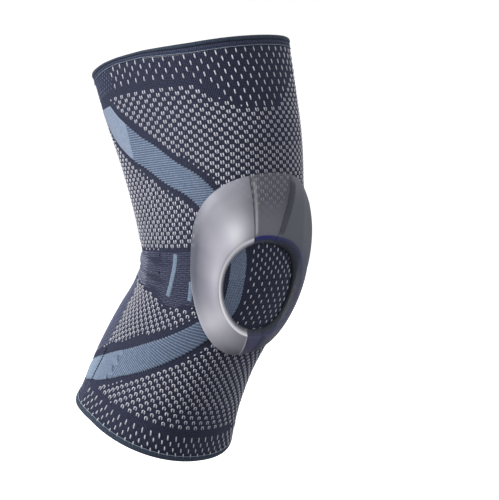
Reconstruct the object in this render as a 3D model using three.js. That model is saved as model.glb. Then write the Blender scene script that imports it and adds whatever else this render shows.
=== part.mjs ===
// Knee sleeve: a knitted tube for a slightly bent knee, with a rounded welt at
// each end, a light support band down each side and a soft clear ring round the
// kneecap.
// Millimetres, +Z up. The origin is the middle of the knee, inside the tube.
// The kneecap faces -Y, and the outer side of the leg is at -X.

import * as THREE from 'three';

// The leg line, which runs up the middle of the tube
const THIGH_LENGTH = 146;
const SHIN_LENGTH = 139.5;
const THIGH_LEAN = 14.2; // degrees back from upright
const SHIN_LEAN = 31.9; // degrees forward from upright
const BEND_LENGTH = 82; // length of leg line in which most of the bend lies

// Outer sizes of the tube, square to the leg line
const KNEE_WIDTH = 113;
const KNEE_DEPTH = 109.3;
const THIGH_WIDTH = 139.6;
const THIGH_DEPTH = 149.3;
const CALF_WIDTH = 125.2;
const CALF_DEPTH = 110.3;
const ROUNDNESS = 2.15; // power of the section's curve: 2 is an ellipse, more is squarer

// The knit and its welts
const KNIT_WALL = 2;
const TOP_WELT_HEIGHT = 8;
const BOTTOM_WELT_HEIGHT = 4.4;
const WELT_THICKNESS = 3.2;
const WELT_SQUARENESS = 3;
const GAP = 0.3; // clearance between two pieces

// The support bands, one on each side
const BAND_WIDTH = 19;
const BAND_THICKNESS = 0.6;

// The clear ring round the kneecap: heights run along the leg line, widths
// round the tube
const PAD_MIDDLE = 3; // above the middle of the knee
const PAD_RISE = 47; // from the pad's middle up to its top edge
const PAD_DROP = 50.5; // from the pad's middle down to its bottom edge
const PAD_WIDTH = 112;
const PAD_TURN = 10.5; // degrees from the front to the outer side of the leg
const PAD_TOP_HEIGHT = 9; // how far the ring stands off its seat above the window
const PAD_BOTTOM_HEIGHT = 6; // and below the window
const PAD_TOP_POWER = 2.5; // power of the outline's upper half
const PAD_BOTTOM_POWER = 1.85; // power of the outline's lower half
const WINDOW_MIDDLE = -7.5;
const WINDOW_TURN = 9; // degrees from the front to the outer side of the leg
const WINDOW_HEIGHT = 43;
const WINDOW_WIDTH = 63;
const WINDOW_SLANT = 0.22; // how far the window runs inwards for each millimetre down
const WINDOW_FLARE = 3; // how far the window's mouth is wider all round than its foot
const WEDGE_DROP = 2.4; // how far the two wedges lie below the lobes beside them
const WEDGE_STEP = 1.5; // degrees that the step down to a wedge takes

// Sections of the tube from the bottom edge to the top edge.
// along: share of the shin length (below the knee) or of the thigh length (above it).
// side, front, back: half sizes as shares of the width and depth at that height,
// which go in a straight line from the knee's to the end's.
const SECTIONS = [
  { along: -1.0, side: 0.498, front: 0.516, back: 0.46 },
  { along: -0.75, side: 0.461, front: 0.472, back: 0.513 },
  { along: -0.5, side: 0.438, front: 0.471, back: 0.505 },
  { along: -0.25, side: 0.448, front: 0.527, back: 0.442 },
  { along: 0.0, side: 0.5, front: 0.586, back: 0.414 },
  { along: 0.25, side: 0.516, front: 0.567, back: 0.415 },
  { along: 0.5, side: 0.505, front: 0.572, back: 0.44 },
  { along: 0.75, side: 0.495, front: 0.541, back: 0.475 },
  { along: 1.0, side: 0.497, front: 0.499, back: 0.474 },
];

// Middle line of a support band from its upper end to its lower end.
// along: share of the thigh or shin length.
// turn: degrees round the tube from the front.
// width: share of the band's width.
const BAND_ROUTE = [
  { along: 0.825, turn: 122, width: 1.05 },
  { along: 0.685, turn: 110, width: 1.06 },
  { along: 0.515, turn: 87, width: 1.0 },
  { along: 0.405, turn: 73, width: 0.95 },
  { along: 0.32, turn: 58, width: 0.88 },
  { along: 0.165, turn: 38.5, width: 0.78 },
  { along: 0.06, turn: 31, width: 0.67 },
  { along: -0.04, turn: 30, width: 0.65 },
  { along: -0.14, turn: 32, width: 0.66 },
  { along: -0.27, turn: 46, width: 0.84 },
  { along: -0.43, turn: 65, width: 0.93 },
  { along: -0.61, turn: 89, width: 1.0 },
  { along: -0.735, turn: 106, width: 1.02 },
  { along: -0.83, turn: 124, width: 0.85 },
];

// Top of the clear ring from the window's mouth to its outer lip.
// across: share of the way out. height: share of the ring's height.
const PAD_PROFILE = [
  { across: 0.0, height: 0.86 },
  { across: 0.06, height: 0.96 },
  { across: 0.22, height: 1.0 },
  { across: 0.44, height: 0.99 },
  { across: 0.64, height: 0.9 },
  { across: 0.8, height: 0.7 },
  { across: 0.92, height: 0.42 },
  { across: 1.0, height: 0.15 },
];

// Lobes and wedges of the clear ring, clockwise from the top.
// inner, outer: where the piece starts, in degrees round the window and round
// the outer edge. low: share of the wedges' drop. columns: steps round the piece.
const PAD_PIECES = [
  { name: 'top wedge', inner: -15, outer: -9, low: 1, columns: 5 },
  { name: 'inner lobe', inner: 16, outer: 18, low: 0, columns: 16 },
  { name: 'bottom wedge', inner: 166, outer: 166, low: 0.6, columns: 4 },
  { name: 'outer lobe', inner: 193, outer: 177, low: 0, columns: 17 },
];

// Numbers of flat facets
const TUBE_COLUMNS = 48;
const TUBE_ROWS = 34;
const WELT_COLUMNS = 8;
const LEG_LINE_STEPS = 40;
const BAND_STEPS = 38;
const BAND_END_STEPS = 4;
const BAND_COLUMNS = 4;

function radians(degrees) {
  return (degrees * Math.PI) / 180;
}

// A sine or cosine bent to the section's curve
function rounded(value, power) {
  return Math.sign(value) * Math.abs(value) ** (2 / power);
}

// Smooth curve through the rows of a table, at a place counted in rows
function alongTable(table, column, place) {
  const last = table.length - 1;
  const row = Math.min(Math.max(Math.floor(place), 0), last - 1);
  const t = place - row;
  const [a, b, c, d] = [-1, 0, 1, 2].map((step) => {
    const index = Math.min(Math.max(row + step, 0), last);
    return table[index][column];
  });
  const slope = (c - a) / 2;
  const nextSlope = (d - b) / 2;
  const bend = 3 * (c - b) - 2 * slope - nextSlope;
  const twist = 2 * (b - c) + slope + nextSlope;
  return b + t * (slope + t * (bend + t * twist));
}

// The leg line

function shareOfLeg(height) {
  return height < 0 ? height / SHIN_LENGTH : height / THIGH_LENGTH;
}

function legHeight(share) {
  return share < 0 ? share * SHIN_LENGTH : share * THIGH_LENGTH;
}

function leanAt(height) {
  const turned = 1 / (1 + Math.exp((-4 * height) / BEND_LENGTH));
  return radians(-SHIN_LEAN + (SHIN_LEAN + THIGH_LEAN) * turned);
}

function legPoint(height) {
  const step = height / LEG_LINE_STEPS;
  let y = 0;
  let z = 0;
  for (let i = 0; i < LEG_LINE_STEPS; i += 1) {
    const lean = leanAt((i + 0.5) * step);
    y += Math.sin(lean) * step;
    z += Math.cos(lean) * step;
  }
  return { y, z, lean: leanAt(height) };
}

// The tube

function halfSizes(height) {
  const share = shareOfLeg(height);
  const place = ((share + 1) / 2) * (SECTIONS.length - 1);
  const far = Math.abs(share);
  const endWidth = share < 0 ? CALF_WIDTH : THIGH_WIDTH;
  const endDepth = share < 0 ? CALF_DEPTH : THIGH_DEPTH;
  const width = KNEE_WIDTH + (endWidth - KNEE_WIDTH) * far;
  const depth = KNEE_DEPTH + (endDepth - KNEE_DEPTH) * far;
  return {
    side: width * alongTable(SECTIONS, 'side', place),
    front: depth * alongTable(SECTIONS, 'front', place),
    back: depth * alongTable(SECTIONS, 'back', place),
  };
}

// A point on the tube. turn is in degrees from the front, to the inner side of
// the leg where it is positive. lift is how far the point stands off the tube.
function tubePoint(height, turn, lift) {
  const leg = legPoint(height);
  const half = halfSizes(height);
  const across = rounded(Math.sin(radians(turn)), ROUNDNESS);
  const forward = rounded(Math.cos(radians(turn)), ROUNDNESS);
  const depth = forward > 0 ? half.front : half.back;
  const out = (depth + lift) * forward;
  return new THREE.Vector3(
    (half.side + lift) * across,
    leg.y - Math.cos(leg.lean) * out,
    leg.z + Math.sin(leg.lean) * out,
  );
}

function tubeLoop(height, lift) {
  return Array.from({ length: TUBE_COLUMNS }, (_, i) => {
    return tubePoint(height, (360 * i) / TUBE_COLUMNS, lift);
  });
}

// Solids made of loops of points

function solidOf(points, triangles) {
  const geometry = new THREE.BufferGeometry();
  let volume = 0;
  for (const [a, b, c] of triangles) {
    volume += points[a].dot(points[b].clone().cross(points[c]));
  }
  const facing = volume > 0 ? triangles : triangles.map(([a, b, c]) => [a, c, b]);
  geometry.setAttribute(
    'position',
    new THREE.Float32BufferAttribute(points.flatMap((point) => point.toArray()), 3),
  );
  geometry.setIndex(facing.flat());
  geometry.computeVertexNormals();
  return geometry;
}

// Triangles between loops of equal length, each joined to the next one
function bridges(loops, columns, joins) {
  const triangles = [];
  for (let row = 0; row < joins; row += 1) {
    const next = (row + 1) % loops;
    for (let i = 0; i < columns; i += 1) {
      const j = (i + 1) % columns;
      const a = row * columns + i;
      const b = row * columns + j;
      const c = next * columns + j;
      const d = next * columns + i;
      triangles.push([a, b, c], [a, c, d]);
    }
  }
  return triangles;
}

// A ring: its last loop joins its first one
function ringSolid(loops) {
  const columns = loops[0].length;
  return solidOf(loops.flat(), bridges(loops.length, columns, loops.length));
}

// A strip: its first and last loops are closed by flat ends
function stripSolid(loops) {
  const columns = loops[0].length;
  const triangles = bridges(loops.length, columns, loops.length - 1);
  const end = (loops.length - 1) * columns;
  for (let i = 0; i < columns / 2 - 1; i += 1) {
    const j = columns - 1 - i;
    triangles.push([i, j, i + 1], [i + 1, j, j - 1]);
    triangles.push([end + i, end + i + 1, end + j], [end + i + 1, end + j - 1, end + j]);
  }
  return solidOf(loops.flat(), triangles);
}

// The pieces

function knitSleeve() {
  const low = -SHIN_LENGTH + BOTTOM_WELT_HEIGHT + GAP;
  const high = THIGH_LENGTH - TOP_WELT_HEIGHT - GAP;
  const outside = [];
  const inside = [];
  for (let row = 0; row <= TUBE_ROWS; row += 1) {
    const height = low + ((high - low) * row) / TUBE_ROWS;
    outside.push(tubeLoop(height, 0));
    inside.unshift(tubeLoop(height, -KNIT_WALL));
  }
  return ringSolid([...outside, ...inside]);
}

function welt(middle, height) {
  const loops = [];
  for (let i = 0; i < WELT_COLUMNS; i += 1) {
    const angle = (2 * Math.PI * (i + 0.5)) / WELT_COLUMNS;
    const out = rounded(Math.cos(angle), WELT_SQUARENESS) * (WELT_THICKNESS / 2);
    const up = rounded(Math.sin(angle), WELT_SQUARENESS) * (height / 2);
    loops.push(tubeLoop(middle + up, out - KNIT_WALL / 2));
  }
  return ringSolid(loops);
}

function topWelt() {
  return welt(THIGH_LENGTH - TOP_WELT_HEIGHT / 2, TOP_WELT_HEIGHT);
}

function bottomWelt() {
  return welt(-SHIN_LENGTH + BOTTOM_WELT_HEIGHT / 2, BOTTOM_WELT_HEIGHT);
}

// One place on a band's middle line: its height, its turn and the band's width there
function bandPlace(side, place) {
  return {
    height: legHeight(alongTable(BAND_ROUTE, 'along', place)),
    turn: side * alongTable(BAND_ROUTE, 'turn', place),
    width: BAND_WIDTH * alongTable(BAND_ROUTE, 'width', place),
  };
}

// Length of tube surface that one millimetre of height and one degree of turn cover
function surfaceScale(height, turn) {
  const here = tubePoint(height, turn, 0);
  return {
    height: here.distanceTo(tubePoint(height + 1, turn, 0)),
    turn: here.distanceTo(tubePoint(height, turn + 1, 0)),
  };
}

function bandLoop(side, place, halfWidth) {
  const small = 0.05;
  const middle = bandPlace(side, place);
  const before = bandPlace(side, place - small);
  const after = bandPlace(side, place + small);
  const scale = surfaceScale(middle.height, middle.turn);
  const rise = (after.height - before.height) * scale.height;
  const sweep = (after.turn - before.turn) * scale.turn;
  const length = Math.hypot(rise, sweep);
  const edge = (share, lift) => {
    const height = middle.height - (share * halfWidth * sweep) / length / scale.height;
    const turn = middle.turn + (share * halfWidth * rise) / length / scale.turn;
    return tubePoint(height, turn, lift);
  };
  const under = [];
  const over = [];
  for (let i = 0; i <= BAND_COLUMNS; i += 1) {
    const share = (2 * i) / BAND_COLUMNS - 1;
    under.push(edge(share, GAP));
    over.unshift(edge(share, GAP + BAND_THICKNESS));
  }
  return [...under, ...over];
}

function bandLengths(side, places) {
  const lengths = [0];
  for (let i = 1; i < places.length; i += 1) {
    const a = bandPlace(side, places[i - 1]);
    const b = bandPlace(side, places[i]);
    const step = tubePoint(a.height, a.turn, 0).distanceTo(tubePoint(b.height, b.turn, 0));
    lengths.push(lengths[i - 1] + step);
  }
  return lengths;
}

function supportBand(side) {
  const samples = 240;
  const last = BAND_ROUTE.length - 1;
  const places = Array.from({ length: samples + 1 }, (_, i) => (last * i) / samples);
  const lengths = bandLengths(side, places);
  const total = lengths[samples];
  const placeAt = (length) => {
    const after = Math.max(lengths.findIndex((value) => value >= length), 1);
    const share = (length - lengths[after - 1]) / (lengths[after] - lengths[after - 1]);
    return places[after - 1] + (places[after] - places[after - 1]) * share;
  };
  const endRadius = (place) => bandPlace(side, place).width / 2;
  const first = endRadius(0);
  const final = endRadius(last);
  const loops = [];
  for (let i = 1; i < BAND_END_STEPS; i += 1) {
    const angle = (Math.PI / 2) * (i / BAND_END_STEPS);
    loops.push(bandLoop(side, placeAt(first * (1 - Math.cos(angle))), first * Math.sin(angle)));
  }
  for (let i = 0; i <= BAND_STEPS; i += 1) {
    const length = first + ((total - first - final) * i) / BAND_STEPS;
    const place = placeAt(length);
    loops.push(bandLoop(side, place, endRadius(place)));
  }
  for (let i = BAND_END_STEPS - 1; i > 0; i -= 1) {
    const angle = (Math.PI / 2) * (i / BAND_END_STEPS);
    const place = placeAt(total - final * (1 - Math.cos(angle)));
    loops.push(bandLoop(side, place, final * Math.sin(angle)));
  }
  return stripSolid(loops);
}

// Degrees of turn that a length round the front of the knee covers
function turnOf(length) {
  const radius = (KNEE_WIDTH / 2 + KNEE_DEPTH * SECTIONS[4].front) / 2;
  return THREE.MathUtils.radToDeg(length / radius);
}

// A place on the outer edge of the clear ring, clockwise from the top
function padEdge(angle) {
  const up = Math.cos(radians(angle));
  const power = up > 0 ? PAD_TOP_POWER : PAD_BOTTOM_POWER;
  const reach = up > 0 ? PAD_RISE : PAD_DROP;
  return {
    height: PAD_MIDDLE + reach * rounded(up, power),
    turn: -PAD_TURN + turnOf(PAD_WIDTH / 2) * rounded(Math.sin(radians(angle)), power),
  };
}

// A place on the window's edge, which is wider by flare
function windowEdge(angle, flare) {
  const up = (WINDOW_HEIGHT / 2 + flare) * Math.cos(radians(angle));
  const across = (WINDOW_WIDTH / 2 + flare) * Math.sin(radians(angle));
  return {
    height: WINDOW_MIDDLE + up,
    turn: -WINDOW_TURN + turnOf(across - up * WINDOW_SLANT),
  };
}

// The section of the clear ring at one column: up the window's wall, out over the
// top and back underneath
function padSection(inner, outer, drop) {
  const seat = BAND_THICKNESS + 2 * GAP;
  const foot = windowEdge(inner, 0);
  const mouth = windowEdge(inner, WINDOW_FLARE);
  const lip = padEdge(outer);
  const between = (start, share, lift) => {
    const height = start.height + (lip.height - start.height) * share;
    const turn = start.turn + (lip.turn - start.turn) * share;
    return tubePoint(height, turn, seat + lift);
  };
  const raised = ((1 + Math.cos(radians(outer))) / 2) ** 2;
  const tallest = PAD_BOTTOM_HEIGHT + (PAD_TOP_HEIGHT - PAD_BOTTOM_HEIGHT) * raised;
  const lipHeight = PAD_PROFILE[PAD_PROFILE.length - 1].height;
  const top = PAD_PROFILE.map(({ across, height }) => {
    const sunk = drop * WEDGE_DROP * Math.min(1, (height - lipHeight) * 2);
    return between(mouth, across, tallest * height - sunk);
  });
  const underneath = [1, 0.8, 0.6, 0.4, 0.2, 0].map((share) => between(foot, share, 0));
  return [...top, ...underneath];
}

function patellaPad() {
  const sections = [];
  PAD_PIECES.forEach((piece, index) => {
    const next = PAD_PIECES[(index + 1) % PAD_PIECES.length];
    const wrap = index === PAD_PIECES.length - 1 ? 360 : 0;
    for (let i = 0; i <= piece.columns; i += 1) {
      const share = i / piece.columns;
      const inset = WEDGE_STEP * (0.5 - share);
      const inner = piece.inner + (next.inner + wrap - piece.inner) * share + inset;
      const outer = piece.outer + (next.outer + wrap - piece.outer) * share + inset;
      sections.push(padSection(inner, outer, piece.low));
    }
  });
  return ringSolid(sections);
}

// Finishes

const NAVY_KNIT = new THREE.MeshStandardMaterial({ color: 0x34374f, roughness: 0.95 });
const WELT_KNIT = new THREE.MeshStandardMaterial({ color: 0x3d4058, roughness: 0.95 });
const LIGHT_KNIT = new THREE.MeshStandardMaterial({ color: 0x8299b4, roughness: 0.9 });
const CLEAR_RUBBER = new THREE.MeshStandardMaterial({ color: 0xa4a5b0, roughness: 0.25 });

function piece(name, geometry, material) {
  const mesh = new THREE.Mesh(geometry, material);
  mesh.name = name;
  return mesh;
}

const kneeSleeve = new THREE.Group();
kneeSleeve.add(
  piece('knit_sleeve', knitSleeve(), NAVY_KNIT),
  piece('top_welt', topWelt(), WELT_KNIT),
  piece('bottom_welt', bottomWelt(), WELT_KNIT),
  piece('outer_support_band', supportBand(-1), LIGHT_KNIT),
  piece('inner_support_band', supportBand(1), LIGHT_KNIT),
  piece('patella_pad', patellaPad(), CLEAR_RUBBER),
);

export default kneeSleeve;
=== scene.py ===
# Knee sleeve in Blender: a navy knitted tube on the form of a slightly bent knee,
# with off-white stitches, light ribbed bands, a welt at each end and a clear
# silicone ring round the kneecap.
# Named sizes are in millimetres. Every mesh is in metres.
# A place on the knit is its height along the leg line and its turn in degrees
# from the front, which is negative on the outer side of the leg.
import math

import bpy
import numpy as np
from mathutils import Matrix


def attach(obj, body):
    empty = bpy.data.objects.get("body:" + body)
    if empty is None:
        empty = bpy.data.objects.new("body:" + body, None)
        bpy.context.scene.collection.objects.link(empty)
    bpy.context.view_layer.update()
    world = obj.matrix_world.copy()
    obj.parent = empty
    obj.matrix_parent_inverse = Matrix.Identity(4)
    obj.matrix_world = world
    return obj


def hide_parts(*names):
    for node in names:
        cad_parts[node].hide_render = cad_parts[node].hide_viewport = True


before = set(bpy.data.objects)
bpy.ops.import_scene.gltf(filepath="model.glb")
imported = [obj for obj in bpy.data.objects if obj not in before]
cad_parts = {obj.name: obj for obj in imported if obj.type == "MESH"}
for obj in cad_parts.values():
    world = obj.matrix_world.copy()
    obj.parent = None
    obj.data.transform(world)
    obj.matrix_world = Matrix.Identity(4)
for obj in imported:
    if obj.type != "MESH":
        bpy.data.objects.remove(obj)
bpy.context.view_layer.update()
bpy.ops.object.select_all(action="DESELECT")

MM = 0.001


def table(columns, *rows):
    """A short table with named columns: a dict for each row."""
    return [dict(zip(columns.split(), row)) for row in rows]


# Camera, at the photograph's angle
VIEW_AZIMUTH = -45
VIEW_ELEVATION = 4.67
VIEW_DISTANCE = 3.0
VIEW_RIGHT = 0.0267  # metres from the origin to the middle of the picture
VIEW_UP = 0.0031
LENS = 295.9

# The leg line
THIGH_LENGTH = 146
SHIN_LENGTH = 139.5
THIGH_LEAN = 14.2
SHIN_LEAN = 31.9
BEND_LENGTH = 82
LEG_STEP = 0.25

# Outer sizes of the tube
KNEE_WIDTH = 113
KNEE_DEPTH = 109.3
THIGH_WIDTH = 139.6
THIGH_DEPTH = 149.3
CALF_WIDTH = 125.2
CALF_DEPTH = 110.3
ROUNDNESS = 2.15
KNIT_WALL = 2
GAP = 0.3

# Sections from the bottom edge to the top edge: half sizes as shares of the
# width and the depth
SECTIONS = table(
    "along side front back",
    (-1.0, 0.498, 0.516, 0.46),
    (-0.75, 0.461, 0.472, 0.513),
    (-0.5, 0.438, 0.471, 0.505),
    (-0.25, 0.448, 0.527, 0.442),
    (0.0, 0.5, 0.586, 0.414),
    (0.25, 0.516, 0.567, 0.415),
    (0.5, 0.505, 0.572, 0.44),
    (0.75, 0.495, 0.541, 0.475),
    (1.0, 0.497, 0.499, 0.474),
)

# Welts
TOP_WELT_HEIGHT = 8
BOTTOM_WELT_HEIGHT = 4.4
LINE_UNDER_TOP_WELT = 138.5
LINE_OVER_BOTTOM_WELT = -134.9

# Support bands: middle line from the upper end to the lower end
BAND_WIDTH = 19
BAND_THICKNESS = 0.6
BAND_ROUTE = table(
    "along turn width",
    (0.825, 122, 1.05),
    (0.685, 110, 1.06),
    (0.515, 87, 1.0),
    (0.405, 73, 0.95),
    (0.32, 58, 0.88),
    (0.165, 38.5, 0.78),
    (0.06, 31, 0.67),
    (-0.04, 30, 0.65),
    (-0.14, 32, 0.66),
    (-0.27, 46, 0.84),
    (-0.43, 65, 0.93),
    (-0.61, 89, 1.0),
    (-0.735, 106, 1.02),
    (-0.83, 124, 0.85),
)
BAND_TOP = 117  # the band is cut off level here
RIB_PITCH = 1.62
LOWER_RIB_PITCH = 1.6  # below the knee
SMOOTH_END = 98  # degrees from the front, near which the upper end's ribs stop
SPOTTED_TOP = 13  # beside the kneecap the band is finely spotted, not ribbed
SPOTTED_BOTTOM = -26
SPOTTED_END = 97  # and near which the lower end's ribs turn to spots

# Soft creases behind the knee: height of each, and how far it slants
CREASE_START = 74  # degrees from the front
CREASE_FADE = 40
CREASES = table(
    "height slant depth wide",
    (9, -3, 0.7, 3.0),
    (-3, 2, 1.1, 3.4),
    (-14, -2, 1.0, 3.0),
    (-26, 3, 0.7, 3.6),
)

# Knit
MARKS_ROUND = 58  # stitch marks in one round
WALES_ROUND = MARKS_ROUND * 6  # columns of knit in one round
COURSE = 0.95  # height of one row of knit
DENSE_ROW = 2.9
THIGH_CUFF_ROW = 4.1
CALF_CUFF_ROW = 3.85
PATELLA_ROW = 2.85
PLAIN_MARGIN = 4.6  # plain knit beside a band
WIDE_MARGINS = 3.2, 6.8  # and behind it, below the knee, at these turns from the front
WIDE_MARGIN_TURNS = 62, 86
PATTERN_TURN = -8  # middle of the front's pattern
FLAT_BORDER = 12  # degrees to either side of that, where its border is level
INNER_STEEPNESS = 1.5

# Rows of knit: near the bend they stay flatter than the tube's sections.
# forward: millimetres that a row stands higher at the front than at the sides.
ROW_SLANTS = table(
    "row forward",
    (-132, 0), (-118, 2), (-105, 8), (-90, 10), (-60, 12), (-15, 14), (20, 4), (45, -2),
    (75, -8), (105, -7), (125, -2), (137, 0),
)
# Near the ends the rows, and with them the tube's edges, also stand higher at
# the sides of the leg and hang lower behind it.
# side, back: millimetres there.
END_ROWS = table(
    "row side back",
    (-140, 0, -5),
    (-128, 0, -4),
    (-105, 0, 0),
    (85, 0, 0),
    (105, 1.5, 0),
    (119, 3.5, 0),
    (125, 6, 0),
    (132, 6, 0),
    (138.5, 5.3, 0),
    (146, 2.4, 0),
)
# Share of that at a turn. off: degrees from the front.
END_SHARES = table(
    "off side back",
    (45, 0, 0),
    (57, 0.25, 0),
    (75, 0.82, 0),
    (92, 1, 0),
    (104, 0.85, 0.25),
    (117, 0.42, 0.65),
    (136, 0, 1),
)
# Ribs of the bands below the knee run steeper than the rows of knit.
RIB_SLANTS = table(
    "row forward",
    (-100, -34), (-70, -24), (-45, -8), (-25, 0),
)
# How the stitches lean from the columns of knit, in degrees: their tops stand
# nearer the inner side of the leg where it is more than 0
STITCH_LEANS = table(
    "turn thigh calf",
    (-115, 4, 4),
    (-90, 3, 0),
    (-60, -2, -12),
    (-40, -5, -18),
    (0, -8, -12),
    (45, -6, 0),
    (115, 0, 0),
)
# Where the columns of knit crowd together, behind the bent knee.
# turn: degrees from the front. amount: share more columns.
CROWDS = table(
    "height turn amount",
    (-140, 125, 0.2),
    (-60, 125, 0.45),
    (0, 97, 0.45),
    (50, 95, 0.35),
    (95, 95, 0.0),
)
CROWD_SPREAD = 30

# Borders of the patterns. off: degrees to either side of the pattern's middle.
CUFF_LOWER_BORDER = table(
    "off height",
    (0, 102.5), (12, 102.5), (18, 105), (24, 107), (31, 114), (36, 119), (42, 123.4),
    (180, 123.4),
)
DENSE_UPPER_BORDER = table(
    "off height",
    (0, 94.5), (13, 94.5), (24, 101), (33, 107.5), (44, 117.5), (62, 119.2), (75, 121),
    (88, 122.6), (180, 122.6),
)
DENSE_LOWER_BORDER = table(
    "off height",
    (0, -114.6), (20, -114.6), (50, -116.6), (78, -118.2), (95, -118), (180, -115),
)
PATELLA_TOP = 16
PATELLA_BOTTOM = -28
PATELLA_SIDE = 20.5  # degrees from the front
PANEL_TOP = 4.8
# Lower edge of the ribbed panel behind the knee. off: degrees from the front.
PANEL_LOWER_BORDER = table(
    "off height",
    (40, -20.5), (61, -23), (78, -31), (92, -26), (114, -27), (180, -27),
)

# Clear ring
PAD_MIDDLE = 3
PAD_RISE = 47
PAD_DROP = 50.5
PAD_WIDTH = 112
PAD_TURN = 10.5
PAD_TOP_HEIGHT = 9
PAD_BOTTOM_HEIGHT = 6
PAD_TOP_POWER = 2.5
PAD_BOTTOM_POWER = 1.85
WINDOW_MIDDLE = -7.5
WINDOW_TURN = 9
WINDOW_HEIGHT = 43
WINDOW_WIDTH = 63
WINDOW_SLANT = 0.22
WINDOW_FLARE = 3
WEDGE_DROP = 2.4
WEDGE_STEP = 1.5
GROOVE_DEPTH = 1.3
GROOVE_SPREAD = 0.9  # degrees round the outer edge
PAD_PROFILE = table(
    "across height",
    (0.0, 0.86), (0.06, 0.96), (0.22, 1.0), (0.44, 0.99), (0.64, 0.9), (0.8, 0.7),
    (0.92, 0.42), (1.0, 0.15),
)
PAD_PIECES = table(
    "name inner outer low columns",
    ("top wedge", -15, -9, 1.0, 40),
    ("inner lobe", 16, 18, 0.0, 104),
    ("bottom wedge", 166, 166, 0.6, 30),
    ("outer lobe", 193, 177, 0.0, 116),
)


# Places on the tube


def rounded(value, power):
    return np.sign(value) * np.abs(value) ** (2 / power)


def along_table(rows, column, place):
    """Smooth curve through a column of a table, at a place counted in rows."""
    values = np.array([row[column] for row in rows], float)
    last = len(values) - 1
    row = np.clip(np.floor(place), 0, last - 1).astype(int)
    t = place - row
    a, b, c, d = (values[np.clip(row + step, 0, last)] for step in (-1, 0, 1, 2))
    slope = (c - a) / 2
    next_slope = (d - b) / 2
    bend = 3 * (c - b) - 2 * slope - next_slope
    twist = 2 * (b - c) + slope + next_slope
    return b + t * (slope + t * (bend + t * twist))


def between_rows(rows, key, column, value):
    """Straight lines between a table's rows."""
    return np.interp(value, [row[key] for row in rows], [row[column] for row in rows])


def border(rows, off):
    """Height of a pattern's border."""
    return between_rows(rows, "off", "height", off)


def crease(height, turn):
    """Depth of the soft creases behind the bent knee."""
    behind = np.clip((np.abs(turn) - CREASE_START) / CREASE_FADE, 0, 1)
    depth = 0
    for row in CREASES:
        middle = row["height"] + row["slant"] * behind
        depth = depth + row["depth"] * np.exp(-(((height - middle) / row["wide"]) ** 2))
    return depth * behind


def lean_at(height):
    turned = 1 / (1 + np.exp(-4 * np.asarray(height, float) / BEND_LENGTH))
    return np.radians(-SHIN_LEAN + (SHIN_LEAN + THIGH_LEAN) * turned)


LEG_HEIGHTS = np.arange(-160, 160 + LEG_STEP, LEG_STEP)
LEG_MIDDLES = (LEG_HEIGHTS[1:] + LEG_HEIGHTS[:-1]) / 2


def leg_sums(steps):
    sums = np.concatenate([[0], np.cumsum(steps * LEG_STEP)])
    return sums - np.interp(0, LEG_HEIGHTS, sums)


LEG_Y = leg_sums(np.sin(lean_at(LEG_MIDDLES)))
LEG_Z = leg_sums(np.cos(lean_at(LEG_MIDDLES)))


def tube_point(height, turn, lift):
    """Millimetres. lift is how far the point stands off the tube."""
    height, turn, lift = np.broadcast_arrays(
        np.asarray(height, float), np.asarray(turn, float), np.asarray(lift, float)
    )
    share = np.where(height < 0, height / SHIN_LENGTH, height / THIGH_LENGTH)
    place = (share + 1) / 2 * (len(SECTIONS) - 1)
    far = np.abs(share)
    width = KNEE_WIDTH + (np.where(share < 0, CALF_WIDTH, THIGH_WIDTH) - KNEE_WIDTH) * far
    depth = KNEE_DEPTH + (np.where(share < 0, CALF_DEPTH, THIGH_DEPTH) - KNEE_DEPTH) * far
    side = width * along_table(SECTIONS, "side", place)
    front = depth * along_table(SECTIONS, "front", place)
    back = depth * along_table(SECTIONS, "back", place)
    across = rounded(np.sin(np.radians(turn)), ROUNDNESS)
    forward = rounded(np.cos(np.radians(turn)), ROUNDNESS)
    lift = lift - crease(height, turn)
    out = (np.where(forward > 0, front, back) + lift) * forward
    lean = lean_at(height)
    return np.stack(
        [
            (side + lift) * across,
            np.interp(height, LEG_HEIGHTS, LEG_Y) - np.cos(lean) * out,
            np.interp(height, LEG_HEIGHTS, LEG_Z) + np.sin(lean) * out,
        ],
        axis=-1,
    )


def row_shift(row, turn):
    """Millimetres that a row of knit stands higher at a turn than where it starts."""
    shift = between_rows(ROW_SLANTS, "row", "forward", row) * np.cos(np.radians(turn))
    for way in ("side", "back"):
        share = between_rows(END_SHARES, "off", way, np.abs(turn))
        shift = shift + between_rows(END_ROWS, "row", way, row) * share
    return shift


def rib_shift(row, turn):
    """The same for a rib of a band."""
    steeper = between_rows(RIB_SLANTS, "row", "forward", row)
    return row_shift(row, turn) + steeper * np.cos(np.radians(turn))


def course(row, turn):
    """Height at which a row of knit passes a turn."""
    return row + row_shift(row, turn)


ALL_TURNS = np.linspace(-180, 180, 1441)
TURN_MIDDLES = (ALL_TURNS[1:] + ALL_TURNS[:-1]) / 2


def turn_at(height, share):
    """Turn of a share of the way round, counted in columns of knit."""
    loop = tube_point(height, ALL_TURNS, 0)
    steps = np.linalg.norm(np.diff(loop, axis=0), axis=1)
    middle = between_rows(CROWDS, "height", "turn", height)
    amount = between_rows(CROWDS, "height", "amount", height)
    steps = steps * (1 + amount * np.exp(-(((np.abs(TURN_MIDDLES) - middle) / CROWD_SPREAD) ** 2)))
    shares = np.concatenate([[0], np.cumsum(steps)]) / steps.sum()
    return np.interp(share, shares, ALL_TURNS)


def surface_scale(height, turn):
    """Millimetres of knit that one unit of height and one degree of turn cover."""
    upward_step = tube_point(height + 0.5, turn, 0) - tube_point(height - 0.5, turn, 0)
    round_step = tube_point(height, turn + 0.5, 0) - tube_point(height, turn - 0.5, 0)
    return np.linalg.norm(upward_step, axis=-1), np.linalg.norm(round_step, axis=-1)


# Finishes


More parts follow.
